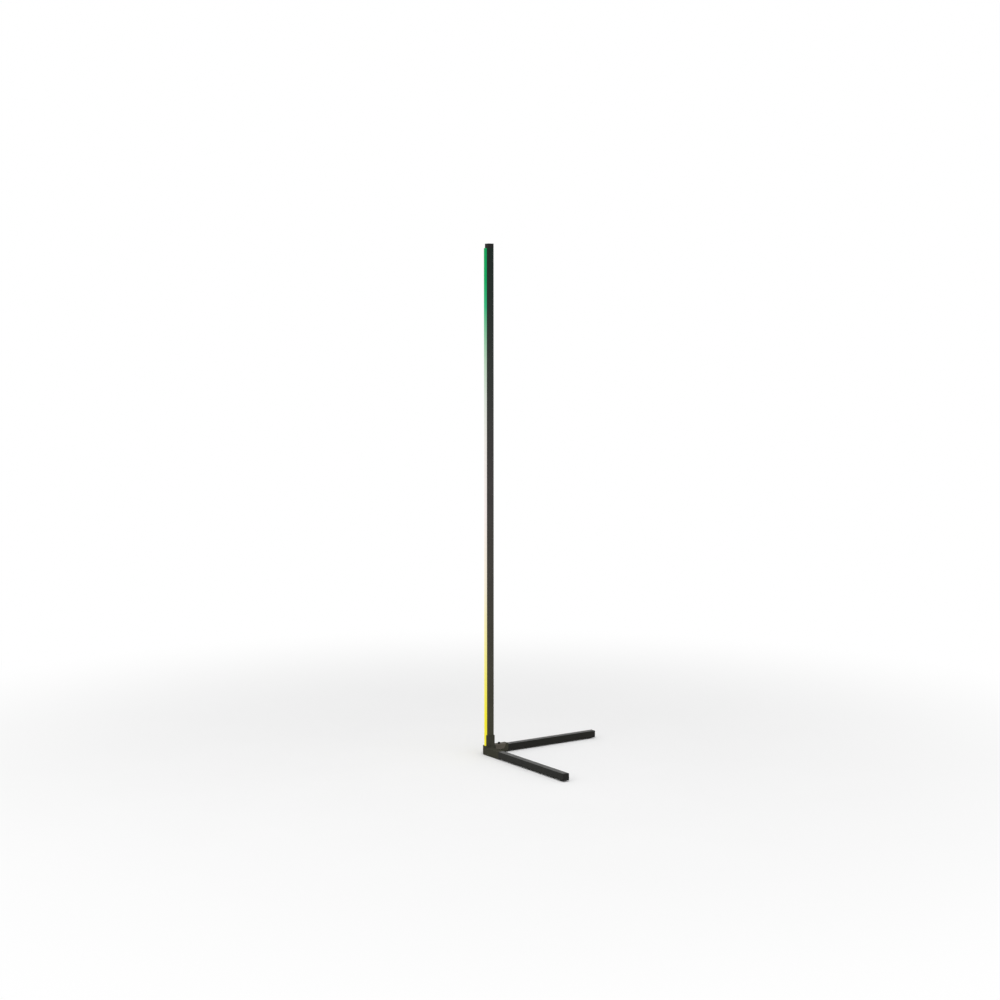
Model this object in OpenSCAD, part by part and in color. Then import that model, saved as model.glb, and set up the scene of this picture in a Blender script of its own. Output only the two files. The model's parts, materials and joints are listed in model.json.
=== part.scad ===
// Corner floor lamp: a slim square pole with a glowing strip on its room-corner side,
// standing on two legs at a right angle, the rear one hinged so that it folds beside the front one.
// The origin is on the floor under the pole's axis. The front leg runs along +X and the rear leg
// along +Y, both flush with the block's two corner sides. The room's corner lies towards -X and -Y.

/* [Overall] */
// Height of the lamp over the floor
lamp_h = 1420; // [1000:10:1800]
// Length of a leg tube
tube_len = 300; // [220:1:400]
// Clearance between pieces that fit together
fit_gap = 0.15; // [0.1:0.01:0.2]

/* [Legs] */
// Outside width and height of a leg tube
leg_w = 19; // [18.6:0.2:21]
// Wall of a leg tube
leg_wall = 1.5; // [1:0.1:2]
// Rounding of a leg tube's long edges
leg_edge_r = 1.2; // [0.6:0.1:1.8]
// Height of the leg tubes' undersides over the floor
leg_lift = 3; // [2.4:0.1:4]
// Height of the block and of the hinge over the tops of the leg tubes
shoulder_rise = 2.9; // [0.5:0.1:4]
// Length of the plug inside the start of a leg tube
plug_len = 36; // [32:1:60]
// Distance from the start of a leg tube to its first screw
leg_screw_edge = 16; // [15:0.5:18]
// Distance between the two screws of a leg tube
leg_screw_pitch = 14; // [10:0.5:15]
// Shank diameter of a leg screw
leg_screw_d = 4; // [3:0.5:5]
// Head diameter of a leg screw
leg_screw_head_d = 7; // [6:0.5:8]
// Head height of a leg screw
leg_screw_head_h = 1.8; // [1:0.1:2.2]
// Length of a leg screw under its head
leg_screw_len = 10; // [6:0.5:12]
// Length of a leg's end cap outside its tube
end_cap_flange = 6; // [3:0.5:10]
// Length of a leg's end cap inside its tube
end_cap_plug = 12; // [8:1:20]
// Wall of an end cap
end_cap_wall = 1.8; // [1.2:0.1:2.4]
// Diameter of the rubber foot under a leg's end
foot_d = 16; // [10:0.5:18]
// Distance from a leg's end to the middle of its foot
foot_inset = 20; // [12:1:40]

/* [Corner block] */
// Width of the block and of its collar around the pole
block_w = 21.6; // [21.2:0.1:24]
// Distance from the pole's axis to the start of the front leg's tube
arm_reach = 68; // [60:0.5:90]
// Height of the collar over the block
collar_h = 30.6; // [25:0.2:50]
// Width of the collar's lips on the two corner sides
collar_lip = 11.6; // [8:0.1:11.8]
// Wall of the block around the light strip's cover
corner_wall = 3.6; // [2:0.1:4]
// Thickness of the rubber pad under the block
pad_t = 1; // [0.6:0.1:1.5]
// Distance from the block's edges to the pad's edges
pad_inset = 0.5; // [0.3:0.1:3]
// Thickness of the plate that closes the block from below
cover_t = 2; // [1.6:0.1:3]
// Half the width of the space for wires in the block
cavity_half = 8.6; // [7:0.1:8.7]
// Height of the space for wires in the block
cavity_h = 9; // [8.8:0.1:11]
// Thickness of the ledge under the pole
socket_floor_t = 2; // [1.5:0.1:3]
// Width of the rim that the cover plate rests on
cover_ledge = 1; // [0.6:0.1:1.2]
// Width of the two tabs of the cover plate
cover_tab_w = 10; // [8:0.5:12]
// Distance from the pole's axis to the end of the cover plate's front tab
cover_tab_reach = 24; // [18:0.5:30]
// Diameter of a cover screw
cover_screw_d = 2.5; // [2:0.5:3]
// Head diameter of a cover screw
cover_screw_head_d = 4.8; // [4:0.2:6]
// Head height of a cover screw
cover_screw_head_h = 1.3; // [1:0.1:1.5]
// Length of a cover screw
cover_screw_len = 6.5; // [4:0.5:7]
// Distance from a tab's end to its screw
cover_screw_edge = 3.3; // [2.8:0.1:4]
// Diameter of the set screws in the collar
collar_screw_d = 3; // [2:0.5:3]
// Height of the lower set screw over the block
collar_screw_low = 8; // [6:0.5:12]
// Distance between the set screws in the collar
collar_screw_pitch = 14; // [8:0.5:18]

/* [Hinge] */
// Distance from the pole's axis to the hinge's axis
pivot_reach = 36.5; // [34.5:0.5:38]
// Distance from the pole's axis to the end of the block's rear lug
lug_reach = 18.8; // [17:0.1:19]
// Radius of the hinge link's round end at its top
knuckle_r = 20; // [18:0.1:21]
// Radius of the round end at its bottom, less because the end leans back
knuckle_low_r = 14.5; // [14:0.1:18]
// Distance from the round end's top to the start of the rear leg's tube
head_t = 5.5; // [3:0.1:20]
// Clearance between the leg's fitting and what it turns against
turn_gap = 0.35; // [0.3:0.05:0.6]
// Thickness of the tongue under the link
tongue_t = 7.2; // [4:0.1:8.5]
// Thickness of the nylon washer between tongue and link
glide_t = 0.6; // [0.4:0.1:1]
// Outside diameter of the nylon washer
glide_d = 16; // [12:0.5:18]
// Diameter of the hinge bolt
pivot_d = 4; // [3:0.5:5]
// Radial running clearance of the hinge bolt in the link
pivot_gap = 0.05; // [0.02:0.01:0.09]
// Head diameter of the hinge bolt
pivot_head_d = 6.8; // [6:0.2:9]
// Head height of the hinge bolt
pivot_head_h = 3.4; // [3:0.1:5]
// Thickness of the spring washer under the bolt's head
spring_washer_t = 0.8; // [0.5:0.1:1.2]
// Outside diameter of the spring washer
spring_washer_d = 8.4; // [7.4:0.2:11]
// Distance from the bolt's tip to the tongue's underside
bolt_tip_inset = 0.6; // [0.3:0.1:1.5]
// Width of the link's tenon in the block
tenon_w = 10; // [8:0.5:12]
// Height of the link's tenon
tenon_h = 8.4; // [7:0.2:9.4]
// Length of the link's tenon
tenon_len = 5.8; // [5:0.1:6.5]
// Diameter of the screw across the tenon
cross_screw_d = 3; // [2:0.5:3.5]
// Head diameter of the screw across the tenon
cross_head_d = 5.2; // [4.4:0.2:6]
// Head height of the screw across the tenon
cross_head_h = 1.8; // [1:0.1:2.5]
// Wall left beyond the tip of the screw across the tenon
cross_end_wall = 1.6; // [1:0.1:2.5]
// Diameter of the rubber foot beside the hinge
hinge_foot_d = 17; // [14:0.5:18]
// Distance from the middle of that foot to the start of the rear leg's tube
hinge_foot_inset = 4; // [0:0.2:8]

/* [Pole] */
// Outside width of the pole
pole_w = 17.6; // [17.4:0.1:18.2]
// Wall of the pole
pole_wall = 1.2; // [1:0.1:1.4]
// Rounding of the pole's outer edges
pole_edge_r = 0.8; // [0.3:0.1:1]
// Width of the pole's lips on the two corner sides
pole_lip = 8; // [7.6:0.1:8.4]
// Thickness of the web that carries the light strip
web_t = 1.2; // [0.8:0.1:1.6]
// Height of the top cap over the pole
top_cap_h = 12; // [6:0.5:16]
// Depth of the top cap's peg in the pole
top_cap_peg = 14; // [8:1:24]
// Length of a joiner
joiner_len = 60; // [40:2:90]
// Width of a joiner's flanges
joiner_flange = 9.4; // [8:0.1:9.6]
// Thickness of a joiner's flanges
joiner_t = 3; // [2:0.1:3.2]
// Distance of the joiner screws from a seam
joiner_screw_edge = 15; // [8:0.5:18]
// Distance of the joiner screws from the pole's middle plane
joiner_screw_side = 2.5; // [1.5:0.1:4]
// Diameter of a joiner screw
joiner_screw_d = 3; // [2:0.5:3.5]

/* [Light] */
// Outer radius of the light strip's cover
bulge_r = 6.6; // [6.2:0.1:6.8]
// Distance from the pole's axis to the cover's outermost line
bulge_reach = 14.9; // [14.4:0.1:15.3]
// Wall of the light strip's cover
shade_wall = 1.1; // [0.8:0.1:1.3]
// Thickness of the cover's closed ends
shade_end = 1.6; // [1:0.1:3]
// Height of the barbs on the cover's sides
barb_t = 0.8; // [0.4:0.1:1]
// Length of the barbs across the pole
barb_len = 2; // [1.4:0.1:2.4]
// Distance from the barbs to the pole's lips
barb_gap = 0.6; // [0.4:0.1:1]
// Width of the light strip
strip_w = 8; // [7:0.1:9]
// Thickness of the light strip
strip_t = 0.5; // [0.3:0.1:0.8]
// Distance from the light strip's ends to the ends of its cover
strip_end = 4; // [3:0.5:10]
// Width of a light chip
chip_w = 5; // [3:0.5:6]
// Height of a light chip
chip_t = 1.6; // [1:0.1:2]
// Distance between light chips
chip_pitch = 16.7; // [12:0.1:34]

/* [Controller] */
// Width of the controller board
board_w = 12; // [11:0.5:13]
// Length of the controller board
board_len = 64; // [50:1:120]
// Thickness of the controller board
board_t = 1; // [0.8:0.1:1.6]
// Distance from the pole's lower end to the board
board_lift = 50; // [45:1:80]
// Width of the controller chip
logic_w = 6; // [4:0.5:7]
// Height of the controller chip
logic_t = 1.2; // [0.8:0.1:1.6]
// Diameter of the two capacitors
capacitor_d = 3.6; // [3:0.1:4]
// Length of a capacitor
capacitor_len = 7; // [5:0.5:9]

/* [Power inlet] */
// Height of the inlet's axis over the floor
inlet_z = 7.3; // [7.2:0.1:8]
// Thickness of the block's wall at the inlet
inlet_wall = 2.4; // [2:0.1:3]
// Outside diameter of the inlet's threaded barrel
inlet_barrel_d = 8; // [7.6:0.1:8.4]
// Bore of the inlet
inlet_bore_d = 6.2; // [5.8:0.1:6.4]
// Depth of the inlet's bore
inlet_depth = 9.5; // [8.5:0.1:10]
// Distance that the barrel stands proud of the nut
inlet_proud = 0.5; // [0.2:0.1:1]
// Thickness of the inlet's nut
inlet_nut_t = 2; // [1.5:0.1:3]
// Width of the inlet's nut across its flats
inlet_nut_w = 10; // [9.6:0.1:11]
// Width of the inlet's housing
inlet_body_w = 8; // [7.6:0.1:8.4]
// Length of the inlet's housing
inlet_body_len = 8.4; // [8:0.1:9]
// Diameter of the inlet's contact pin
contact_d = 2.1; // [1.5:0.1:2.5]
// Distance from the pin's tip to the inlet's mouth
contact_inset = 1.4; // [0.8:0.1:3]
// Width of a solder lug
lug_w = 1.6; // [1:0.1:2]
// Thickness of a solder lug
lug_t = 0.5; // [0.3:0.1:0.8]
// Length of a solder lug
lug_len = 2; // [1.5:0.1:2.5]
// Distance of a solder lug from the inlet's axis
lug_side = 2.2; // [1.6:0.1:2.8]
// Diameter of a power lead
power_lead_d = 1.2; // [0.8:0.1:1.4]
// Diameter of a strip lead
strip_lead_d = 1; // [0.6:0.1:1.2]
// Distance of the power leads from the pole's diagonal plane
power_lead_side = 3.3; // [3:0.1:3.8]
// Distance between strip leads
strip_lead_pitch = 1.5; // [1.2:0.1:1.7]

/* [Hidden] */

$fn = 48;
// Sections that the pole is made in
section_count = 4;
// Overrun of every cut beyond the solid that it cuts
cut_over = 1;
// Sides of a wire
wire_sides = 8;
// Clearance of a thread in its hole
thread_gap = 0.02;
// Width of a hex socket as a share of its screw's diameter
hex_share = 0.7;
// Depth of a hex socket as a share of its screw's diameter
hex_depth_share = 0.5;

leg_top = leg_lift + leg_w;
leg_mid = leg_lift + leg_w / 2;
block_half = block_w / 2;
block_top = leg_top + shoulder_rise;
collar_top = block_top + collar_h;
plug_w = leg_w - 2 * leg_wall - 2 * fit_gap;

pole_half = pole_w / 2;
pole_z = pad_t + cover_t + cavity_h + socket_floor_t;
pole_top = lamp_h - top_cap_h;
section_len = (pole_top - pole_z) / section_count;
// Where the pole's mouth starts on its two corner sides
pole_mouth = pole_half - pole_lip;
// Distance from the axis to the inner edge of the pole's lips, and half the gap between them
lip_depth = (pole_lip - pole_wall) / sqrt(2);
lip_half = (pole_w - pole_lip - pole_wall) / sqrt(2);

bulge_centre = bulge_reach - bulge_r;
bulge_side = bulge_centre / sqrt(2);
corner_r = bulge_r + fit_gap + corner_wall;
corner_side = bulge_side + corner_r;
// Distance from the pole's axis to the middle line of a leg
leg_shift = corner_side - leg_w / 2;
cover_half = cavity_half + cover_ledge;
lug_tab_reach = lug_reach - pad_inset;

cover_len = pole_top - pole_z - fit_gap;
strip_z = pole_z + strip_end;
strip_len = pole_top - strip_end - strip_z;

stop_reach = pivot_reach - lug_reach - turn_gap;
// Distance from the pole's axis to the start of the rear leg's tube
hinge_reach = pivot_reach + knuckle_r + head_t;
knuckle_z = leg_lift + tongue_t + glide_t;
knuckle_h = block_top - knuckle_z;
tenon_z = knuckle_z + (knuckle_h - tenon_h) / 2;
cross_x = lug_reach - tenon_len / 2;
cross_z = tenon_z + tenon_h / 2;
bolt_seat = block_top + spring_washer_t;

inlet_face = -corner_side - inlet_nut_t - inlet_proud;
inlet_back = -corner_side + inlet_wall;
lug_end = inlet_back + inlet_body_len + lug_len;
board_back = web_t + board_t;
board_z = pole_z + board_lift;

// Turns a shape that is drawn with the room's corner along +X
module facing_corner() {
    rotate([0, 0, 225]) children();
}

// Moves a shape that is drawn along +X onto the front leg's middle line
module along_front() {
    translate([0, -leg_shift, 0]) children();
}

// Turns and moves a shape that is drawn along +X onto the rear leg's middle line
module along_rear() {
    translate([-leg_shift, 0, 0]) rotate([0, 0, 90]) children();
}

// Moves a shape that is drawn from x = 0 to where the front leg's tube starts
module at_front_tube() {
    along_front() translate([arm_reach, 0, 0]) children();
}

// Moves a shape that is drawn from x = 0 to where the rear leg's tube starts
module at_rear_tube() {
    along_rear() translate([hinge_reach, 0, 0]) children();
}

// Extrudes an outline in Y and Z along +X, from x to x + len
module bar(x, len) {
    translate([x, 0, 0]) rotate([90, 0, 90]) linear_extrude(len) children();
}

module rounded_rect(w, h, r) {
    square([w - 2 * r, h], center = true);
    square([w, h - 2 * r], center = true);
    for (x = [-1, 1], y = [-1, 1])
        translate([x * (w / 2 - r), y * (h / 2 - r)]) circle(r);
}

// Screw with its head's underside at z = 0 and its shank pointing down
module screw(d, head_d, head_h, len) {
    difference() {
        union() {
            cylinder(d = head_d, h = head_h);
            translate([0, 0, -len]) cylinder(d = d, h = len);
        }
        translate([0, 0, head_h - d * hex_depth_share])
            cylinder(d = d * hex_share, h = head_h, $fn = 6);
    }
}

// Set screw with its outer end at z = 0, pointing down
module set_screw(d, len) {
    difference() {
        translate([0, 0, -len]) cylinder(d = d, h = len);
        translate([0, 0, -d * hex_depth_share]) cylinder(d = d * hex_share, h = d, $fn = 6);
    }
}

// Outline of a leg tube, from the floor up
module leg_outline() {
    translate([0, leg_mid]) rounded_rect(leg_w, leg_w, leg_edge_r);
}

// Outline of the hinge, which stands higher than the leg tubes
module hinge_outline() {
    translate([0, (leg_lift + block_top) / 2])
        rounded_rect(leg_w, block_top - leg_lift, leg_edge_r);
}

// Lower half of the block's arms, which reaches lower than the leg tubes
module arm_foot_outline() {
    translate([-leg_w / 2, pad_t]) square([leg_w, leg_mid - pad_t]);
}

module plug_outline() {
    translate([0, leg_mid]) square([plug_w, plug_w], center = true);
}

// Outline of the block from above: square, with a round corner around the strip's cover
module block_plan() {
    translate([-bulge_side, -corner_side])
        square([bulge_side + block_half, corner_side + block_half]);
    translate([-corner_side, -bulge_side])
        square([corner_side + block_half, bulge_side + block_half]);
    translate([-bulge_side, -bulge_side]) circle(corner_r);
}

module collar_plan() {
    difference() {
        rounded_rect(block_w, block_w, pole_edge_r + fit_gap);
        translate([-block_w, -block_w])
            square(block_w + block_half - collar_lip);
    }
}

// The cover plate's outline: a square with a tab towards each leg
module cover_plan(gap) {
    square(2 * (cover_half + gap), center = true);
    along_front() translate([0, -cover_tab_w / 2 - gap])
        square([cover_tab_reach + gap, cover_tab_w + 2 * gap]);
    along_rear() translate([0, -cover_tab_w / 2 - gap])
        square([lug_tab_reach + gap, cover_tab_w + 2 * gap]);
}

module at_cover_screws() {
    along_front() translate([cover_tab_reach - cover_screw_edge, 0, pad_t]) children();
    along_rear() translate([lug_tab_reach - cover_screw_edge, 0, pad_t]) children();
}

// The two screws in the underside of a leg tube that starts at x = 0
module at_leg_screws() {
    for (i = [0, 1])
        translate([leg_screw_edge + i * leg_screw_pitch, 0, leg_lift])
            rotate([180, 0, 0]) children();
}

// The plug inside the start of a leg tube
module tube_plug() {
    bar(-cut_over, plug_len + cut_over) plug_outline();
}

// The threaded holes for a leg tube's screws
module leg_screw_holes() {
    at_leg_screws()
        translate([0, 0, -leg_screw_len - fit_gap])
            cylinder(d = leg_screw_d + 2 * thread_gap, h = leg_screw_len + leg_wall);
}

module at_collar_screws() {
    for (i = [0, 1])
        translate([0, block_half, block_top + collar_screw_low + i * collar_screw_pitch])
            rotate([-90, 0, 0]) children();
}

module corner_block() {
    color("#2c2b29") difference() {
        union() {
            translate([0, 0, pad_t]) linear_extrude(block_top - pad_t) block_plan();
            translate([0, 0, pad_t]) linear_extrude(collar_top - pad_t) collar_plan();
            along_front() bar(0, arm_reach) {
                leg_outline();
                arm_foot_outline();
            }
            along_rear() bar(0, lug_reach) {
                hinge_outline();
                arm_foot_outline();
            }
            at_front_tube() tube_plug();
        }
        pole_pocket();
        wire_space();
        translate([0, 0, pad_t - cut_over])
            linear_extrude(cover_t + cut_over) cover_plan(fit_gap);
        at_cover_screws() cylinder(d = cover_screw_d + 2 * thread_gap, h = cover_screw_len + fit_gap);
        at_collar_screws()
            translate([0, 0, -block_half])
                cylinder(d = collar_screw_d + 2 * thread_gap, h = block_half + cut_over);
        at_front_tube() leg_screw_holes();
        tenon_socket();
        inlet_hole();
    }
}

// The space that the pole and its strip cover stand in
module pole_pocket() {
    translate([-pole_half - fit_gap, -pole_half - fit_gap, pole_z])
        cube([pole_w + 2 * fit_gap, pole_w + 2 * fit_gap, collar_top]);
    translate([-bulge_side, -bulge_side, pole_z]) cylinder(r = bulge_r + fit_gap, h = collar_top);
}

// The space for the inlet and the wires, with a way up into the pole
module wire_space() {
    translate([inlet_back, -cavity_half, pad_t + cover_t - cut_over])
        cube([cavity_half - inlet_back, 2 * cavity_half, cavity_h + cut_over]);
    facing_corner()
        translate([-lip_half, -strip_w / 2, pole_z - socket_floor_t - cut_over])
            cube([lip_half + lip_depth, strip_w, socket_floor_t + 2 * cut_over]);
}

module tenon_socket() {
    along_rear() {
        translate([
            lug_reach - tenon_len - fit_gap, -tenon_w / 2 - fit_gap, tenon_z - fit_gap
        ])
            cube([tenon_len + fit_gap + cut_over, tenon_w + 2 * fit_gap, tenon_h + 2 * fit_gap]);
        translate([cross_x, -leg_w / 2 + cross_head_h, cross_z]) rotate([90, 0, 0]) {
            cylinder(d = cross_head_d + 2 * fit_gap, h = cross_head_h + cut_over);
            translate([0, 0, cross_head_h + cross_end_wall - leg_w])
                cylinder(d = cross_screw_d + 2 * thread_gap, h = leg_w);
        }
    }
}

module inlet_hole() {
    translate([-corner_side - cut_over, 0, inlet_z]) rotate([0, 90, 0])
        cylinder(d = inlet_barrel_d + 2 * thread_gap, h = inlet_wall + 2 * cut_over);
}

module base_cover() {
    color("#33322f") difference() {
        translate([0, 0, pad_t]) linear_extrude(cover_t) cover_plan(0);
        at_cover_screws() {
            cylinder(
                d1 = cover_screw_head_d + 2 * fit_gap, d2 = cover_screw_d + 2 * fit_gap,
                h = cover_screw_head_h
            );
            cylinder(d = cover_screw_d + 2 * fit_gap, h = cover_t + cut_over);
        }
    }
}

module base_cover_screws() {
    color("#8a8a88") at_cover_screws() difference() {
        union() {
            cylinder(d1 = cover_screw_head_d, d2 = cover_screw_d, h = cover_screw_head_h);
            cylinder(d = cover_screw_d, h = cover_screw_len);
        }
        translate([0, 0, -cut_over])
            cylinder(
                d = cover_screw_d * hex_share,
                h = cover_screw_d * hex_depth_share + cut_over, $fn = 6
            );
    }
}

module base_pad() {
    strip = [-bulge_side, pad_inset - leg_w / 2];
    color("#1b1b1b") {
        translate([-bulge_side, -bulge_side, 0]) cylinder(r = corner_r - pad_inset, h = pad_t);
        linear_extrude(pad_t) {
            translate([-bulge_side, -bulge_side]) square(bulge_side + block_half - pad_inset);
            along_front() translate(strip)
                square([arm_reach - pad_inset, leg_w / 2 - pad_inset] - strip);
            along_rear() translate(strip)
                square([lug_reach - pad_inset, leg_w / 2 - pad_inset] - strip);
        }
    }
}

module collar_screws() {
    color("#3a3a3a") at_collar_screws()
        set_screw(collar_screw_d, block_half - pole_half - thread_gap);
}

module hinge_link() {
    color("#6f6b64") along_rear() difference() {
        union() {
            intersection() {
                bar(lug_reach, pivot_reach + knuckle_r) hinge_outline();
                union() {
                    translate([lug_reach, -leg_w / 2, knuckle_z])
                        cube([pivot_reach - lug_reach, leg_w, knuckle_h]);
                    knuckle(0, 0, 0);
                }
            }
            translate([lug_reach - tenon_len, -tenon_w / 2, tenon_z])
                cube([tenon_len + cut_over, tenon_w, tenon_h]);
        }
        translate([pivot_reach, 0, knuckle_z - cut_over])
            cylinder(d = pivot_d + 2 * pivot_gap, h = knuckle_h + 2 * cut_over);
        translate([cross_x, leg_w / 2, cross_z]) rotate([90, 0, 0])
            cylinder(d = cross_screw_d + 2 * fit_gap, h = leg_w);
    }
}

// The cone of the link's round end, made wider by a gap and longer below and above
module knuckle(gap, under, over) {
    flare = (knuckle_r - knuckle_low_r) / knuckle_h;
    translate([pivot_reach, 0, knuckle_z - under])
        cylinder(
            r1 = knuckle_low_r + gap - flare * under, r2 = knuckle_r + gap + flare * over,
            h = under + knuckle_h + over
        );
}

module link_cross_screw() {
    color("#1d1d1d") along_rear()
        translate([cross_x, -leg_w / 2 + cross_head_h, cross_z]) rotate([90, 0, 0])
            screw(cross_screw_d, cross_head_d, cross_head_h,
                leg_w - cross_head_h - cross_end_wall - fit_gap);
}

module hinge_bolt() {
    color("#1d1d1d") along_rear() translate([pivot_reach, 0, bolt_seat])
        screw(pivot_d, pivot_head_d, pivot_head_h, bolt_seat - leg_lift - bolt_tip_inset);
}

// Flat ring around the hinge bolt, with its underside at z
module hinge_ring(z, d, t) {
    along_rear() translate([pivot_reach, 0, z]) difference() {
        cylinder(d = d, h = t);
        translate([0, 0, -cut_over])
            cylinder(d = pivot_d + 2 * fit_gap, h = t + 2 * cut_over);
    }
}

module spring_washer() {
    color("#1d1d1d") hinge_ring(block_top, spring_washer_d, spring_washer_t);
}

module nylon_washer() {
    color("#d9d6cc") hinge_ring(leg_lift + tongue_t, glide_d, glide_t);
}

module rear_leg_fitting() {
    color("#2c2b29") difference() {
        union() {
            along_rear() intersection() {
                bar(0, hinge_reach) hinge_outline();
                union() {
                    translate([0, 0, leg_lift]) linear_extrude(tongue_t) tongue_plan();
                    fitting_head();
                }
            }
            at_rear_tube() tube_plug();
        }
        along_rear() translate([pivot_reach, 0, leg_lift - cut_over])
            cylinder(d = pivot_d + 2 * thread_gap, h = tongue_t + 2 * cut_over);
        at_rear_tube() leg_screw_holes();
    }
}

// The tongue from above: round behind the hinge's bolt, with one square corner that meets the
// block's lug when the leg is open
module tongue_plan() {
    translate([pivot_reach, 0]) circle(stop_reach);
    translate([pivot_reach - stop_reach, 0]) square([stop_reach, leg_w / 2]);
    translate([pivot_reach, -leg_w / 2]) square([hinge_reach - pivot_reach, leg_w]);
}

// The fitting's upright part, hollowed to turn around the link's round end
module fitting_head() {
    difference() {
        translate([pivot_reach, -leg_w / 2, leg_lift])
            cube([hinge_reach - pivot_reach, leg_w, block_top - leg_lift]);
        knuckle(turn_gap, glide_t, cut_over);
    }
}

module leg_tube() {
    color("#2e2d2a") difference() {
        bar(0, tube_len) leg_outline();
        bar(-cut_over, tube_len + 2 * cut_over)
            translate([0, leg_mid]) square(leg_w - 2 * leg_wall, center = true);
        at_leg_screws()
            translate([0, 0, -leg_wall - cut_over])
                cylinder(d = leg_screw_d + 2 * fit_gap, h = leg_wall + 2 * cut_over);
    }
}

module leg_screws() {
    color("#5c5b57") at_leg_screws()
        screw(leg_screw_d, leg_screw_head_d, leg_screw_head_h, leg_screw_len);
}

module leg_cap() {
    color("#262625") difference() {
        union() {
            bar(tube_len, end_cap_flange) leg_outline();
            bar(tube_len - end_cap_plug, end_cap_plug + cut_over) plug_outline();
        }
        bar(tube_len - end_cap_plug - cut_over,
            end_cap_flange + end_cap_plug + cut_over - end_cap_wall)
            translate([0, leg_mid]) square(plug_w - 2 * end_cap_wall, center = true);
    }
}

// Round rubber foot under a leg
module foot(d) {
    color("#1b1b1b") cylinder(d = d, h = leg_lift);
}

module leg_foot() {
    translate([tube_len + end_cap_flange - foot_inset, 0, 0]) foot(foot_d);
}

module rear_leg_tube() { at_rear_tube() leg_tube(); }
module rear_leg_screws() { at_rear_tube() leg_screws(); }
module rear_leg_cap() { at_rear_tube() leg_cap(); }
module rear_leg_foot() { at_rear_tube() leg_foot(); }
module hinge_foot() {
    at_rear_tube() translate([-hinge_foot_inset, 0, 0]) foot(hinge_foot_d);
}
module front_leg_tube() { at_front_tube() leg_tube(); }
module front_leg_screws() { at_front_tube() leg_screws(); }
module front_leg_cap() { at_front_tube() leg_cap(); }
module front_leg_foot() { at_front_tube() leg_foot(); }

// The pole's cross-section: two full walls, two lips and the web between
module pole_outline() {
    difference() {
        rounded_rect(pole_w, pole_w, pole_edge_r);
        square(pole_w - 2 * pole_wall, center = true);
        translate([-pole_w, -pole_w]) square(pole_w + pole_mouth);
    }
    intersection() {
        rounded_rect(pole_w, pole_w, pole_edge_r);
        rotate(225) translate([-web_t, -pole_w]) square([web_t, 2 * pole_w]);
    }
}

// One section of the pole, counted from the floor, with its joiner screws' holes
module pole_section(i) {
    color("#403f3b") difference() {
        translate([0, 0, pole_z + i * section_len]) linear_extrude(section_len) pole_outline();
        at_joiner_screws()
            translate([0, 0, -pole_wall - cut_over])
                cylinder(d = joiner_screw_d + 2 * fit_gap, h = pole_wall + 2 * cut_over);
    }
}

// The set screws in the pole's rear wall, one on each side of each seam
module at_joiner_screws() {
    for (seam = [1 : section_count - 1], side = [-1, 1])
        translate([
            joiner_screw_side, pole_half,
            pole_z + seam * section_len + side * joiner_screw_edge
        ])
            rotate([-90, 0, 0]) children();
}

// Angle that fills the pole's rear hollow against its two full walls
module angle_plan() {
    edge = pole_half - pole_wall - fit_gap;
    translate([edge - joiner_flange, edge - joiner_t]) square([joiner_flange, joiner_t]);
    translate([edge - joiner_t, edge - joiner_flange]) square([joiner_t, joiner_flange]);
}

module pole_joiner(seam) {
    color("#9a9a96") difference() {
        translate([0, 0, pole_z + seam * section_len - joiner_len / 2])
            linear_extrude(joiner_len) angle_plan();
        at_joiner_screws()
            translate([0, 0, -pole_half])
                cylinder(d = joiner_screw_d + 2 * thread_gap, h = pole_half);
    }
}

module joiner_screws() {
    color("#3a3a3a") at_joiner_screws()
        set_screw(joiner_screw_d, pole_wall + fit_gap + joiner_t);
}

module pole_section_1() { pole_section(0); }
module pole_section_2() { pole_section(1); }
module pole_section_3() { pole_section(2); }
module pole_section_4() { pole_section(3); }
module pole_joiner_1() { pole_joiner(1); }
module pole_joiner_2() { pole_joiner(2); }
module pole_joiner_3() { pole_joiner(3); }

module top_cap() {
    color("#262625") {
        translate([0, 0, pole_top]) linear_extrude(top_cap_h)
            rounded_rect(pole_w, pole_w, pole_edge_r);
        translate([0, 0, pole_top - top_cap_peg])
            linear_extrude(top_cap_peg + cut_over) angle_plan();
    }
}

// The two sides of the strip's cover with their barbs, as one outline filled between them
module cover_sides() {
    side = lip_half - fit_gap;
    barb_top = lip_depth - barb_gap;
    edge = [
        [fit_gap, side],
        [barb_top - barb_len, side],
        [barb_top - barb_len + barb_t, side + barb_t],
        [barb_top - barb_t, side + barb_t],
        [barb_top, side],
        [bulge_centre, side]
    ];
    polygon(concat(edge, [for (i = [len(edge) - 1 : -1 : 0]) [edge[i].x, -edge[i].y]]));
}

module cover_hollow() {
    inner = lip_half - fit_gap - shade_wall;
    translate([bulge_centre, 0]) circle(bulge_r - shade_wall);
    translate([-cut_over, -inner]) square([bulge_centre + cut_over, 2 * inner]);
}

module strip_cover() {
    color("#e9f2ea") facing_corner() translate([0, 0, pole_z]) difference() {
        union() {
            translate([bulge_centre, 0, 0]) cylinder(r = bulge_r, h = cover_len);
            linear_extrude(cover_len) cover_sides();
        }
        translate([0, 0, -cut_over]) linear_extrude(cover_len - shade_end + cut_over) cover_hollow();
    }
}

module light_strip() {
    color("#f4f4f2") facing_corner()
        translate([0, -strip_w / 2, strip_z]) cube([strip_t, strip_w, strip_len]);
}

module light_chips() {
    count = floor((strip_len - 2 * strip_end) / chip_pitch);
    first = strip_z + (strip_len - (count - 1) * chip_pitch) / 2;
    color("#fff6d8") facing_corner()
        for (i = [0 : count - 1])
            translate([strip_t, -chip_w / 2, first + i * chip_pitch - chip_w / 2])
                cube([chip_t, chip_w, chip_w]);
}

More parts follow.
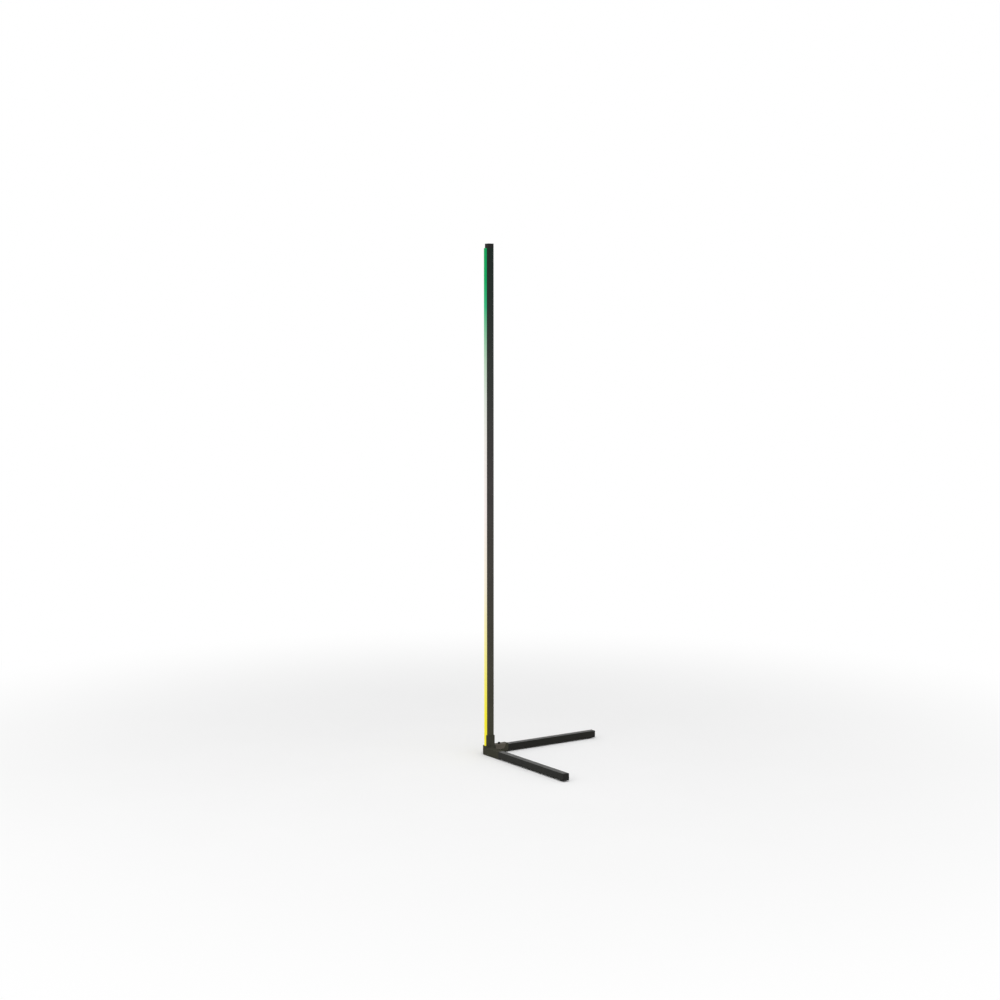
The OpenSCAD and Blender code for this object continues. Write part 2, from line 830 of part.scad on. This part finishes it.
module controller_board() {
    color("#1f5c3a") facing_corner()
        translate([-board_back, -board_w / 2, board_z]) cube([board_t, board_w, board_len]);
}

// The chip and, above it, the two capacitors on the board's rear face
module controller_parts() {
    chip_z = board_z + board_len / 2;
    color("#151515") facing_corner() {
        translate([-board_back - logic_t, -logic_w / 2, chip_z - logic_w])
            cube([logic_t, logic_w, logic_w]);
        for (side = [-1, 1])
            translate([
                -board_back - capacitor_d / 2, side * logic_w / 2,
                chip_z + logic_w
            ])
                cylinder(d = capacitor_d, h = capacitor_len);
    }
}

module inlet_socket() {
    color("#18181a") difference() {
        union() {
            translate([inlet_face, 0, inlet_z]) rotate([0, 90, 0])
                cylinder(d = inlet_barrel_d, h = inlet_back - inlet_face + cut_over);
            translate([inlet_back, -inlet_body_w / 2, inlet_z - inlet_body_w / 2])
                cube([inlet_body_len, inlet_body_w, inlet_body_w]);
            for (side = [-1, 1])
                translate([lug_end - lug_len - cut_over, side * lug_side - lug_w / 2, inlet_z])
                    cube([lug_len + cut_over, lug_w, lug_t]);
        }
        translate([inlet_face - cut_over, 0, inlet_z]) rotate([0, 90, 0])
            cylinder(d = inlet_bore_d, h = inlet_depth + cut_over);
    }
}

module inlet_contact() {
    color("#c9b264") translate([inlet_face + contact_inset, 0, inlet_z]) rotate([0, 90, 0])
        cylinder(d = contact_d, h = inlet_depth - contact_inset);
}

module inlet_nut() {
    color("#9a9a96") translate([-corner_side - inlet_nut_t, 0, inlet_z]) rotate([0, 90, 0])
        difference() {
            cylinder(d = inlet_nut_w * 2 / sqrt(3), h = inlet_nut_t, $fn = 6);
            translate([0, 0, -cut_over])
                cylinder(d = inlet_barrel_d + 2 * thread_gap, h = inlet_nut_t + 2 * cut_over);
        }
}

function unit(v) = v / norm(v);

// Rings of points around a route; side is a direction that the route never follows
function wire_rings(route, d, side) = [
    for (i = [0 : len(route) - 1])
        let (
            ahead = route[min(i + 1, len(route) - 1)] - route[max(i - 1, 0)],
            u = unit(cross(ahead, side)),
            v = unit(cross(ahead, u))
        )
        for (k = [0 : wire_sides - 1])
            route[i] + (u * cos(360 * k / wire_sides) + v * sin(360 * k / wire_sides)) * d / 2
];

// Round wire along a route of points
module wire(route, d, side) {
    n = wire_sides;
    last = (len(route) - 1) * n;
    polyhedron(
        points = wire_rings(route, d, side),
        faces = concat(
            [[for (k = [0 : n - 1]) k]],
            [[for (k = [n - 1 : -1 : 0]) last + k]],
            [for (i = [0 : len(route) - 2], k = [0 : n - 1])
                [i * n + k, (i + 1) * n + k, i * n + (k + 1) % n]],
            [for (i = [0 : len(route) - 2], k = [0 : n - 1])
                [i * n + (k + 1) % n, (i + 1) * n + k, (i + 1) * n + (k + 1) % n]]
        )
    );
}

// Point in the pole's diagonal frame: d towards the room's corner, w across it
function diagonal(d, w, z) = [(w - d) / sqrt(2), -(w + d) / sqrt(2), z];

// From the inlet's solder lugs up the pole's rear hollow to the board
module power_leads() {
    rise = -board_back - power_lead_d / 2;
    color("#b3231e") for (s = [-1, 1])
        wire([
            [lug_end - lug_len / 2, s * lug_side, inlet_z - power_lead_d / 2],
            [lug_end + power_lead_d, s * (lug_side + lug_t), inlet_z - power_lead_d / 2],
            diagonal(rise, -s * power_lead_side, inlet_z + 2 * power_lead_d),
            diagonal(rise, -s * power_lead_side, pole_z),
            diagonal(rise, -s * power_lead_side, board_z + logic_w)
        ], power_lead_d, diagonal(0, 1, 0));
}

// From the board down the rear hollow, under the web and up to the light strip
module strip_leads() {
    back = -board_back - strip_lead_d / 2;
    front = strip_t + strip_lead_d / 2;
    low = pole_z - strip_lead_d;
    color("#e8e4da") for (k = [-1 : 1])
        wire([
            diagonal(back, k * strip_lead_pitch, board_z + logic_w),
            diagonal(back, k * strip_lead_pitch, pole_z),
            diagonal(back + strip_lead_d / 2, k * strip_lead_pitch, pole_z - strip_lead_d / 2),
            diagonal((back + front) / 2, k * strip_lead_pitch, low),
            diagonal(front - strip_lead_d / 2, k * strip_lead_pitch, pole_z - strip_lead_d / 2),
            diagonal(front, k * strip_lead_pitch, pole_z),
            diagonal(front, k * strip_lead_pitch, strip_z + strip_end)
        ], strip_lead_d, diagonal(0, 1, 0));
}

corner_block();
base_cover();
base_cover_screws();
base_pad();
collar_screws();
hinge_link();
link_cross_screw();
hinge_bolt();
spring_washer();
nylon_washer();
rear_leg_fitting();
rear_leg_tube();
rear_leg_screws();
rear_leg_cap();
rear_leg_foot();
hinge_foot();
front_leg_tube();
front_leg_screws();
front_leg_cap();
front_leg_foot();
pole_section_1();
pole_section_2();
pole_section_3();
pole_section_4();
pole_joiner_1();
pole_joiner_2();
pole_joiner_3();
joiner_screws();
top_cap();
strip_cover();
light_strip();
light_chips();
controller_board();
controller_parts();
inlet_socket();
inlet_contact();
inlet_nut();
power_leads();
strip_leads();
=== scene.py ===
import json
import math

import bmesh
import bpy
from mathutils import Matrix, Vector, geometry


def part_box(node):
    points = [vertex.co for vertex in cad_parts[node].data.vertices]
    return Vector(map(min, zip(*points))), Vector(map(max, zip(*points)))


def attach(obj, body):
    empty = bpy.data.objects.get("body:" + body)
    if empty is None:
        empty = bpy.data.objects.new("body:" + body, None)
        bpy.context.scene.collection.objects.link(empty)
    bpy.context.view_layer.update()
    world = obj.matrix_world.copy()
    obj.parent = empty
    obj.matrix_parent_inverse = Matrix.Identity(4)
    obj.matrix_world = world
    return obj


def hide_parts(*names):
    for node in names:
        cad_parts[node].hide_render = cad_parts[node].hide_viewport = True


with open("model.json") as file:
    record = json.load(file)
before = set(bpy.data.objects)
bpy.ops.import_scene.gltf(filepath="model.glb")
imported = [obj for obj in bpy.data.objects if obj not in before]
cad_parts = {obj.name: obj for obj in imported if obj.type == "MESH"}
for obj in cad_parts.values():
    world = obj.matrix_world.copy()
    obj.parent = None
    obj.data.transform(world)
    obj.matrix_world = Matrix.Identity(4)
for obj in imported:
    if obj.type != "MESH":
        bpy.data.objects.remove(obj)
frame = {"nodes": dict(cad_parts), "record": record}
nodes = frame["nodes"]
body_of = {n: b for b, ns in frame["record"]["behaviour"]["bodies"].items() for n in ns}
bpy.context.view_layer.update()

# The camera's place in metres and its turns in degrees, fitted to the edges of pole and legs
CAMERA_AT = (4.2620, -2.8456, 1.2102)
CAMERA_DOWN = 5.504
CAMERA_TURN = 55.942
# Its lens and sensor in millimetres, and how far it sees in metres
CAMERA_LENS = 66.96
CAMERA_SENSOR = 36
CAMERA_REACH = 60


def make_camera():
    data = bpy.data.cameras.new("photo_camera")
    data.lens = CAMERA_LENS
    data.sensor_width = CAMERA_SENSOR
    data.clip_end = CAMERA_REACH
    camera = bpy.data.objects.new("photo_camera", data)
    camera.location = CAMERA_AT
    camera.rotation_euler = (math.radians(90 - CAMERA_DOWN), 0, math.radians(CAMERA_TURN))
    bpy.context.scene.collection.objects.link(camera)
    bpy.context.scene.camera = camera


make_camera()


def srgb(r, g, b):
    """A colour as it looks on screen, 0 to 255, turned by the sRGB curve into linear values."""
    out = []
    for v in (r, g, b):
        v /= 255
        out.append(v / 12.92 if v <= 0.04045 else ((v + 0.055) / 1.055) ** 2.4)
    return (*out, 1.0)


# Height of the lamp, which the light's colours and the pole's painted shade and painted reflections
# are spread over
LAMP_HEIGHT = 1.42
# Where most values of a noise lie
NOISE_LOW = 0.3
NOISE_HIGH = 0.7
# Name of the mark that rounded edges carry
WEAR_MARK = "worn"


class Shader:
    """A new material with one Principled shader, and short calls for the nodes that feed it."""

    def __init__(self, name, **sockets):
        self.material = bpy.data.materials.new(name)
        self.material.use_nodes = True
        self.tree = self.material.node_tree
        self.tree.nodes.clear()
        self.out = self.add("OutputMaterial")
        self.bsdf = self.add("BsdfPrincipled")
        self.put(self.out.inputs["Surface"], self.bsdf.outputs[0])
        for socket, value in sockets.items():
            self.feed(socket.replace("_", " "), value)
        self.place = self.add("TexCoord").outputs["Object"]

    def add(self, kind, **settings):
        node = self.tree.nodes.new("ShaderNode" + kind)
        for setting, value in settings.items():
            setattr(node, setting, value)
        return node

    def put(self, socket, value):
        """Links the socket to another node's output, or sets it to a number or a colour."""
        if isinstance(value, bpy.types.NodeSocket):
            self.tree.links.new(value, socket)
        else:
            socket.default_value = value

    def feed(self, socket, value):
        self.put(self.bsdf.inputs[socket], value)

    def stretched(self, stretch):
        """The place in the frame, stretched along each axis."""
        node = self.add("Mapping")
        self.put(node.inputs["Scale"], stretch)
        self.put(node.inputs["Vector"], self.place)
        return node.outputs[0]

    def noise(self, scale, detail=2.0, rough=0.5, place=None):
        node = self.add("TexNoise")
        self.put(node.inputs["Scale"], scale)
        self.put(node.inputs["Detail"], detail)
        self.put(node.inputs["Roughness"], rough)
        self.put(node.inputs["Vector"], place or self.place)
        return node.outputs["Fac"]

    def cells(self, scale):
        node = self.add("TexVoronoi")
        self.put(node.inputs["Scale"], scale)
        self.put(node.inputs["Vector"], self.place)
        return node.outputs["Distance"]

    def span(self, value, low, high, to_low, to_high, bend="LINEAR"):
        """The value moved from low..high to to_low..to_high, and held inside it."""
        node = self.add("MapRange", interpolation_type=bend)
        self.put(node.inputs["Value"], value)
        self.put(node.inputs["From Min"], low)
        self.put(node.inputs["From Max"], high)
        self.put(node.inputs["To Min"], to_low)
        self.put(node.inputs["To Max"], to_high)
        return node.outputs["Result"]

    def vary(self, noise, spread, around=1.0):
        """The noise turned into values that lie within the spread around a middle."""
        return self.span(noise, NOISE_LOW, NOISE_HIGH, around - spread, around + spread)

    def ramp(self, value, stops):
        node = self.add("ValToRGB")
        elements = node.color_ramp.elements
        while len(elements) < len(stops):
            elements.new(0.5)
        for element, (at, colour) in zip(elements, stops):
            element.position = at
            element.color = colour
        self.put(node.inputs["Fac"], value)
        return node.outputs["Color"]

    def math(self, what, a, b=0.0):
        node = self.add("Math", operation=what)
        self.put(node.inputs[0], a)
        self.put(node.inputs[1], b)
        return node.outputs[0]

    def times(self, first, *others):
        """All values multiplied with each other."""
        for other in others:
            first = self.math("MULTIPLY", first, other)
        return first

    def scaled(self, colour, value):
        """The colour, a fixed one or another node's, made lighter or darker by a value."""
        node = self.add("VectorMath", operation="SCALE")
        self.put(node.inputs[0], colour[:3] if isinstance(colour, tuple) else colour)
        self.put(node.inputs["Scale"], value)
        return node.outputs[0]

    def split(self):
        """X, Y and Z of the place in the frame."""
        node = self.add("SeparateXYZ")
        self.put(node.inputs[0], self.place)
        return node.outputs

    def height_share(self):
        return self.math("DIVIDE", self.split()["Z"], LAMP_HEIGHT)

    def worn(self, brighter):
        """1 on flat faces, and up to a brighter value in patches along the rounded edges."""
        mark = self.add("Attribute", attribute_name=WEAR_MARK).outputs["Fac"]
        patches = self.span(self.noise(scale=150, detail=5, rough=0.7),
                            low=0.42, high=0.62, to_low=0, to_high=1)
        return self.span(self.times(mark, patches), low=0, high=1, to_low=1, to_high=brighter)

    def bump(self, height, depth):
        node = self.add("Bump")
        self.put(node.inputs["Distance"], depth)
        self.put(node.inputs["Height"], height)
        self.feed("Normal", node.outputs[0])


def powder_coat(name, colour, grain, rough, shine):
    """Baked powder coat: a fine orange peel, a slow drift in colour and a rubbed look in places."""
    s = Shader(name, Specular_IOR_Level=shine)
    drift = s.vary(s.noise(scale=14, detail=4, rough=0.6), spread=0.18)
    speck = s.span(s.noise(scale=2600, detail=1), low=0.35, high=0.75, to_low=0.9, to_high=1.14)
    rubbed = s.noise(scale=45, detail=5, rough=0.7)
    peel = s.noise(scale=grain, detail=3, rough=0.6)
    waves = s.noise(scale=grain / 6, detail=2)
    s.feed("Base Color", s.scaled(colour, s.times(drift, speck, s.worn(brighter=1.7))))
    s.feed("Roughness", s.vary(rubbed, spread=0.07, around=rough))
    s.bump(s.math("ADD", peel, waves), depth=0.00006)
    return s.material


# How the noise is stretched along the pole to make drawing lines
DRAWN_LINES = (1, 1, 0.012)


def anodised(name, painted_light, rough):
    """Dark anodised extrusion, with faint drawing lines along its length, and painted shade and
    painted reflections of the glow up its height.
    """
    s = Shader(name, Metallic=0.4, Anisotropic=0.35, Specular_IOR_Level=0.08)
    lines = s.noise(scale=2400, detail=3, rough=0.7, place=s.stretched(DRAWN_LINES))
    drift = s.vary(s.noise(scale=9, detail=3), spread=0.1)
    # Painted shade and painted reflections of the glow, by height, in the base colour
    tone = s.ramp(s.height_share(), painted_light)
    s.feed("Base Color", s.scaled(tone, s.times(drift, s.vary(lines, spread=0.14))))
    s.feed("Roughness", s.span(lines, NOISE_LOW, NOISE_HIGH, rough - 0.06, rough + 0.08))
    s.bump(lines, depth=0.00002)
    return s.material


def satin_metal(name, colour, rough, grain, metal=1.0, shine=0.5):
    """Satin metal with a fine cast or tumbled grain and faint handling marks."""
    s = Shader(name, Metallic=metal, Specular_IOR_Level=shine)
    fine = s.noise(scale=grain, detail=4, rough=0.65)
    marks = s.noise(scale=60, detail=6, rough=0.75)
    skin = s.times(s.vary(fine, spread=0.12), s.vary(marks, spread=0.1), s.worn(brighter=1.5))
    s.feed("Base Color", s.scaled(colour, skin))
    s.feed("Roughness", s.span(marks, low=0.35, high=0.7, to_low=rough - 0.08, to_high=rough + 0.1))
    s.bump(fine, depth=0.00003)
    return s.material


def moulded(name, colour, rough, grain, depth, sheen=0.0, shine=0.35):
    """Moulded plastic or rubber with a spark-eroded grain."""
    s = Shader(name, Specular_IOR_Level=shine, Sheen_Weight=sheen)
    skin = s.cells(grain)
    drift = s.noise(scale=30, detail=4, rough=0.6)
    shade = s.span(skin, low=0, high=0.7, to_low=0.92, to_high=1.08)
    tone = s.times(s.vary(drift, spread=0.12), shade, s.worn(brighter=1.4))
    s.feed("Base Color", s.scaled(colour, tone))
    s.feed("Roughness", s.vary(drift, spread=0.06, around=rough))
    s.bump(skin, depth)
    return s.material


# Distance in metres between two chips behind the strip's cover
CHIP_PITCH = 0.0167
# How much of the strip's colour is its own light, and how much of it is painted glow in the
# silicone's base colour
GLOW_LEVEL = 0.97
PAINTED_GLOW_SHARE = 0.1
# Where the cover's light fades towards its sides, as X less Y in metres, and to what share
GLOW_FALL = (0.002, 0.0095)
SIDE_GLOW = 0.82
# Share of the light that is left between two chips
GAP_GLOW = 0.985
# The light's colours, from the floor up: share of the lamp's height, and colour on screen
GLOW = [
    (0.00, srgb(250, 236, 46)),
    (0.08, srgb(255, 242, 62)),
    (0.15, srgb(255, 244, 118)),
    (0.24, srgb(255, 245, 178)),
    (0.33, srgb(255, 246, 224)),
    (0.48, srgb(255, 246, 243)),
    (0.62, srgb(246, 242, 236)),
    (0.70, srgb(226, 233, 222)),
    (0.77, srgb(192, 219, 194)),
    (0.83, srgb(136, 202, 160)),
    (0.88, srgb(58, 190, 130)),
    (0.93, srgb(12, 174, 100)),
    (1.00, srgb(6, 164, 90)),
]


def lit_silicone(name):
    """Milky silicone lit from inside, brighter over each chip by a trace, dimmer at its sides."""
    s = Shader(name, Specular_IOR_Level=0.12, Roughness=0.6, Emission_Strength=1.0)
    glow = s.ramp(s.height_share(), GLOW)
    cloud = s.vary(s.noise(scale=400, detail=3), spread=0.03)
    place = s.split()
    side = s.math("ABSOLUTE", s.math("SUBTRACT", place["X"], place["Y"]))
    fall = s.span(side, *GLOW_FALL, to_low=1, to_high=SIDE_GLOW)
    chips = s.math("SINE", s.times(place["Z"], 2 * math.pi / CHIP_PITCH))
    dots = s.span(chips, low=-1, high=1, to_low=GAP_GLOW, to_high=1)
    s.feed("Emission Color", s.scaled(glow, s.times(cloud, fall, dots, GLOW_LEVEL)))
    # Painted glow: the light's colours put into the silicone's base colour
    s.feed("Base Color", s.scaled(glow, PAINTED_GLOW_SHARE))
    s.bump(s.noise(scale=900, detail=2), depth=0.00002)
    return s.material


# The pole's colours up its height: painted shade, darker where its wall is further from the floor's
# light, and painted reflections of the strip's glow, olive-yellow near the bottom and green near
# the top
POLE_PAINTED_LIGHT = [
    (0.00, srgb(66, 65, 52)),
    (0.55, srgb(61, 58, 57)),
    (0.75, srgb(48, 51, 48)),
    (1.00, srgb(28, 39, 34)),
]

# The block's coat: its own grey, lighter than the legs', with painted yellow light from the strip's
# glow that makes it olive and a little brighter
block_coat_painted_glow = powder_coat("block_coat_painted_glow", srgb(62, 61, 52), grain=1500, rough=0.85, shine=0.03)
leg_coat = powder_coat("leg_coat", srgb(24, 24, 19), grain=900, rough=0.36, shine=0.135)
pole_finish = anodised("pole_finish", POLE_PAINTED_LIGHT, rough=0.45)
link_finish = satin_metal("link_finish", srgb(94, 89, 80), rough=0.65, grain=1500,
                          metal=0.3, shine=0.05)
black_screw = satin_metal("black_screw", srgb(30, 29, 28), rough=0.38, grain=2200)
zinc_screw = satin_metal("zinc_screw", srgb(150, 150, 146), rough=0.34, grain=1800)
brass = satin_metal("brass", srgb(196, 168, 96), rough=0.28, grain=1800)
mill_aluminium = satin_metal("mill_aluminium", srgb(176, 176, 172), rough=0.4, grain=900)
black_plastic = moulded("black_plastic", srgb(24, 24, 22), rough=0.5, grain=1100,
                        depth=0.00005, shine=0.14)
inlet_plastic = moulded("inlet_plastic", srgb(24, 24, 25), rough=0.35, grain=1600, depth=0.00002)
black_rubber = moulded("black_rubber", srgb(26, 26, 25), rough=0.85, grain=700,
                       depth=0.00008, sheen=0.2)
nylon = moulded("nylon", srgb(214, 210, 200), rough=0.45, grain=1500, depth=0.00002)
red_wire = moulded("red_wire", srgb(150, 26, 20), rough=0.45, grain=900, depth=0.00001)
white_wire = moulded("white_wire", srgb(222, 218, 206), rough=0.45, grain=900, depth=0.00001)
strip_white = moulded("strip_white", srgb(226, 226, 222), rough=0.4, grain=800, depth=0.00001)
chip_yellow = moulded("chip_yellow", srgb(232, 214, 140), rough=0.25, grain=2500, depth=0.00001)
board_green = moulded("board_green", srgb(28, 84, 52), rough=0.3, grain=1200, depth=0.00001)
silicone = lit_silicone("silicone")

# Each node's material, and the record's material slot it stands for
FINISH = {
    "corner_block": (block_coat_painted_glow, "block_black"),
    "base_cover": (block_coat_painted_glow, "block_black"),
    "base_cover_screws": (zinc_screw, "screw_steel"),
    "base_pad": (black_rubber, "rubber_black"),
    "collar_screws": (black_screw, "screw_black"),
    "hinge_link": (link_finish, "link_grey"),
    "link_cross_screw": (black_screw, "screw_black"),
    "hinge_bolt": (black_screw, "screw_black"),
    "spring_washer": (black_screw, "screw_black"),
    "nylon_washer": (nylon, "nylon_white"),
    "rear_leg_fitting": (block_coat_painted_glow, "block_black"),
    "rear_leg_tube": (leg_coat, "leg_black"),
    "rear_leg_screws": (zinc_screw, "screw_steel"),
    "rear_leg_cap": (black_plastic, "cap_black"),
    "rear_leg_foot": (black_rubber, "rubber_black"),
    "hinge_foot": (black_rubber, "rubber_black"),
    "front_leg_tube": (leg_coat, "leg_black"),
    "front_leg_screws": (zinc_screw, "screw_steel"),
    "front_leg_cap": (black_plastic, "cap_black"),
    "front_leg_foot": (black_rubber, "rubber_black"),
    "pole_section_1": (pole_finish, "pole_black"),
    "pole_section_2": (pole_finish, "pole_black"),
    "pole_section_3": (pole_finish, "pole_black"),
    "pole_section_4": (pole_finish, "pole_black"),
    "pole_joiner_1": (mill_aluminium, "joiner_silver"),
    "pole_joiner_2": (mill_aluminium, "joiner_silver"),
    "pole_joiner_3": (mill_aluminium, "joiner_silver"),
    "joiner_screws": (black_screw, "screw_black"),
    "top_cap": (black_plastic, "cap_black"),
    "strip_cover": (silicone, "cover_milky"),
    "light_strip": (strip_white, "strip_white"),
    "light_chips": (chip_yellow, "chip_yellow"),
    "controller_board": (board_green, "board_green"),
    "controller_parts": (inlet_plastic, "parts_black"),
    "inlet_socket": (inlet_plastic, "inlet_black"),
    "inlet_contact": (brass, "contact_brass"),
    "inlet_nut": (zinc_screw, "screw_steel"),
    "power_leads": (red_wire, "lead_red"),
    "strip_leads": (white_wire, "lead_white"),
}

# Width of the roundings along a piece's edges, in metres. Other pieces keep the CAD's own mesh
EDGE = {
    "corner_block": 0.0004,
    "hinge_link": 0.0003,
    "hinge_bolt": 0.0004,
    "link_cross_screw": 0.0002,
    "spring_washer": 0.00012,
    "rear_leg_fitting": 0.0003,
    "rear_leg_tube": 0.00015,
    "front_leg_tube": 0.00015,
    "rear_leg_cap": 0.0004,
    "front_leg_cap": 0.0004,
    "rear_leg_foot": 0.0005,
    "front_leg_foot": 0.0005,
    "hinge_foot": 0.0005,
    "top_cap": 0.0004,
    "inlet_nut": 0.0002,
    "inlet_socket": 0.0001,
    "base_pad": 0.0002,
}
# Most turn, in radians, between two faces that are joined into one flat face
FLAT_TURN = math.radians(0.5)
# Least turn, in radians, of an edge that is rounded, and of one that stays sharp in the shading
SHARP_TURN = 0.5
CREASE_TURN = math.radians(40)
# Number of strips that round an edge, and Blender's number for a round profile
ROUND_STRIPS = 3
ROUND_PROFILE = 0.5
# Most of an edge's length that the roundings at its two ends may use up
USED_SHARE = 0.9
# Least sine of a turn that a slide is worked out for, and the digits that slides are compared in
LEAST_SINE = 0.001
SLIDE_DIGITS = 3
# Points that lie this close together, in metres, are one point
SAME_POINT = 1e-6


def slide(turn, both_rounded):
    """How far a rounded edge's end slides along its neighbour, for a rounding of width 1."""
    return math.tan(turn / 2) if both_rounded else 1 / max(math.sin(turn), LEAST_SINE)


def clear_of_others(bm, edges, width):
    """The edges with no corner so close beside them, in their plane, that roundings could meet."""
    sharp = set(edges)
    crowded = set()
    for edge in edges:
        start, end = (vert.co for vert in edge.verts)
        normals = [face.normal for face in edge.link_faces]
        for vert in bm.verts:
            foot, share = geometry.intersect_point_line(vert.co, start, end)
            if not 0 < share < 1 or (vert.co - foot).length > 2 * width:
                continue
            if any(abs(normal.dot(vert.co - start)) < SAME_POINT for normal in normals):
                crowded |= {edge, *(sharp & set(vert.link_edges))}
    return [edge for edge in edges if edge not in crowded]


def with_room(edges, width):
    """The edges that can be rounded without using up a neighbour on either of their faces."""
    chosen = set(edges)
    faces = {face for edge in edges for face in edge.link_faces}
    crowded = chosen
    while crowded:
        crowded = set()
        for loop in (loop for face in faces for loop in face.loops):
            before, after = loop.link_loop_prev, loop.link_loop_next
            along = after.vert.co - loop.vert.co
            ways = ((before.edge, loop.vert.co - before.vert.co),
                    (after.edge, after.link_loop_next.vert.co - after.vert.co))
            ends = [(slide(along.angle(way, 0), loop.edge in chosen), edge)
                    for edge, way in ways if edge in chosen]
            if sum(used for used, _ in ends) * width > USED_SHARE * along.length:
                worst = max(ends, key=lambda end: (round(end[0], SLIDE_DIGITS),
                                                   -end[1].calc_length()))
                crowded.add(worst[1])
        chosen -= crowded
    return [edge for edge in edges if edge in chosen]


def softened(node, width):
    """A copy of a CAD node with its flat faces joined and its sharp edges rounded off."""
    bm = bmesh.new()
    bm.from_mesh(nodes[node].data)
    bmesh.ops.remove_doubles(bm, verts=bm.verts, dist=SAME_POINT)
    bmesh.ops.dissolve_limit(bm, angle_limit=FLAT_TURN, verts=bm.verts, edges=bm.edges)
    mark = bm.verts.layers.float.new(WEAR_MARK)
    sharp = [edge for edge in bm.edges if len(edge.link_faces) == 2 and edge.is_convex
             and edge.calc_face_angle() > SHARP_TURN]
    free = with_room(clear_of_others(bm, sharp, width), width)
    made = bmesh.ops.bevel(bm, geom=free, offset=width, offset_type="OFFSET", affect="EDGES",
                           segments=ROUND_STRIPS, profile=ROUND_PROFILE, clamp_overlap=False)
    rounded = set(made["faces"])
    low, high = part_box(node)
    for vert in bm.verts:
        vert.co = [min(max(v, a), b) for v, a, b in zip(vert.co, low, high)]
        vert[mark] = float(all(face in rounded for face in vert.link_faces))
    bmesh.ops.dissolve_degenerate(bm, dist=SAME_POINT, edges=bm.edges)
    for face in bm.faces:
        face.smooth = True
    mesh = bpy.data.meshes.new(node + "_soft")
    bm.to_mesh(mesh)
    bm.free()
    mesh.set_sharp_from_angle(angle=CREASE_TURN)
    piece = bpy.data.objects.new(node + "_soft", mesh)
    bpy.context.scene.collection.objects.link(piece)
    piece.modifiers.new("face_normals", "WEIGHTED_NORMAL").keep_sharp = True
    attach(piece, body_of[node])
    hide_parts(node)
    return piece


for node, (finish, slot) in FINISH.items():
    piece = softened(node, EDGE[node]) if node in EDGE else nodes[node]
    piece.data.materials.clear()
    piece.data.materials.append(finish)


# Half the floor's width in metres, the number of its strips, and its paper's colour
FLOOR_HALF = 9
FLOOR_STRIPS = 8
FLOOR_PAPER = (0.9, 0.9, 0.9)
# From how far to how far from the pole's axis, in metres, the floor turns plain white
FLOOR_FADE = (0.35, 2.2)
# Colour of the floor further out and of the surroundings
PLAIN_WHITE = (1, 1, 1, 1)
# Strength of the light from all around
WORLD_LIGHT = 0.6
# Each lamp's place, what it points at, its width, all in metres, and its watts
LAMPS = {
    "overhead": ((0.6, -0.2, 3.4), (0.1, 0.1, 0), 2.4, 46),
    "front_left": ((0.4, -3.2, 1.9), (0, 0, 0.7), 1.4, 14),
    "right": ((3.2, 2.2, 0.5), (0, 0.1, 0.5), 1.2, 12),
}


def seen_rays(tree):
    """1 where a surface is seen, also mirrored or through clear things, 0 where it gives light."""
    path = tree.nodes.new("ShaderNodeLightPath")
    seen = path.outputs["Is Camera Ray"]
    for ray in ("Is Glossy Ray", "Is Transmission Ray"):
        either = tree.nodes.new("ShaderNodeMath")
        either.operation = "MAXIMUM"
        tree.links.new(seen, either.inputs[0])
        tree.links.new(path.outputs[ray], either.inputs[1])
        seen = either.outputs[0]
    return seen


def make_floor():
    """Pale paper around the lamp that turns plain white further out."""
    mesh = bpy.data.meshes.new("floor")
    bm = bmesh.new()
    bmesh.ops.create_grid(bm, x_segments=FLOOR_STRIPS, y_segments=FLOOR_STRIPS, size=FLOOR_HALF)
    bm.to_mesh(mesh)
    bm.free()
    floor = bpy.data.objects.new("floor", mesh)
    bpy.context.scene.collection.objects.link(floor)
    s = Shader("floor_paper", Roughness=0.9, Specular_IOR_Level=0.0)
    s.feed("Base Color", s.scaled(FLOOR_PAPER, s.vary(s.noise(scale=3, detail=3), spread=0.005)))
    away = s.add("VectorMath", operation="LENGTH")
    s.put(away.inputs[0], s.place)
    far = s.span(away.outputs["Value"], *FLOOR_FADE, to_low=0, to_high=1, bend="SMOOTHSTEP")
    white = s.add("Emission")
    s.put(white.inputs["Color"], PLAIN_WHITE)
    mix = s.add("MixShader")
    s.put(mix.inputs["Fac"], s.times(far, seen_rays(s.tree)))
    s.put(mix.inputs[1], s.bsdf.outputs[0])
    s.put(mix.inputs[2], white.outputs[0])
    s.put(s.out.inputs["Surface"], mix.outputs[0])
    floor.data.materials.append(s.material)


def make_world():
    """Plain white surroundings, whose light is weaker than their look."""
    world = bpy.data.worlds.new("studio")
    bpy.context.scene.world = world
    world.use_nodes = True
    tree = world.node_tree
    tree.nodes.clear()
    out = tree.nodes.new("ShaderNodeOutputWorld")
    shade = tree.nodes.new("ShaderNodeBackground")
    shade.inputs["Color"].default_value = PLAIN_WHITE
    level = tree.nodes.new("ShaderNodeMapRange")
    level.inputs["To Min"].default_value = WORLD_LIGHT
    tree.links.new(seen_rays(tree), level.inputs["Value"])
    tree.links.new(level.outputs["Result"], shade.inputs["Strength"])
    tree.links.new(shade.outputs[0], out.inputs["Surface"])


def soft_light(name, at, towards, width, watts):
    data = bpy.data.lights.new(name, "AREA")
    data.shape = "DISK"
    data.size = width
    data.energy = watts
    lamp = bpy.data.objects.new(name, data)
    lamp.location = at
    lamp.rotation_mode = "QUATERNION"
    lamp.rotation_quaternion = (Vector(towards) - Vector(at)).to_track_quat("-Z", "Y")
    bpy.context.scene.collection.objects.link(lamp)


make_floor()
make_world()
for name, facts in LAMPS.items():
    soft_light(name, *facts)

bpy.context.scene.view_settings.view_transform = "Standard"
